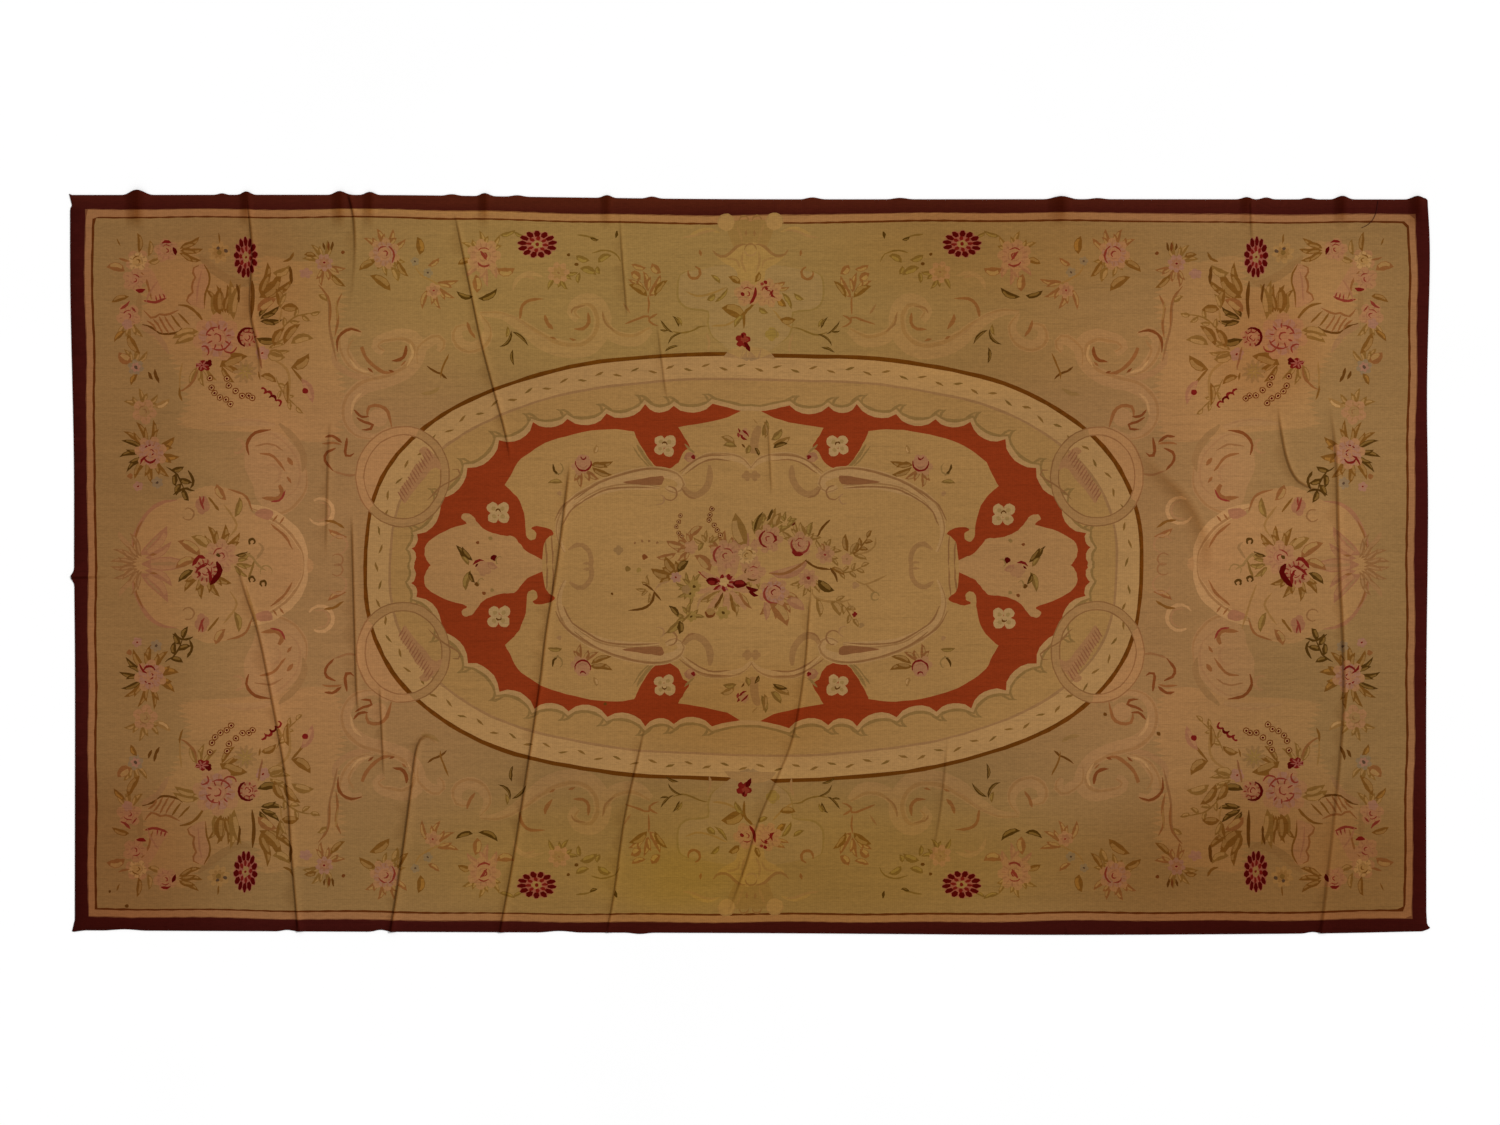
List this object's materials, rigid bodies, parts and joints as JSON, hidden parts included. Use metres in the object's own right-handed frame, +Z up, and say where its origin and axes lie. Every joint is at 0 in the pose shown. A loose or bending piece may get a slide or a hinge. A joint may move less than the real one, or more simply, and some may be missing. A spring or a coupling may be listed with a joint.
{
  "type": "aubusson rug",
  "caption": "Large rectangular flat-woven wool carpet with a dark guard band, floral corners and an oval medallion, lying flat with pinched creases and one loose yarn end.",
  "frame": {"origin": "centre of the carpet, on the floor under it", "axes": "+X along the carpet's length, +Y across it towards the slack rippled edge, +Z up out of the floor through the pattern's face"},
  "size_m": [5.445, 2.9781, 0.0155],
  "materials": {
    "tapestry_wool": "matt weft-faced tapestry weave in tan, cream, brick red and maroon wool",
    "guard_yarn": "matt spun maroon wool"
  },
  "bodies": {
    "root": {"woven_carpet": "tapestry_wool", "loose_yarn": "guard_yarn"}
  },
  "joints": []
}
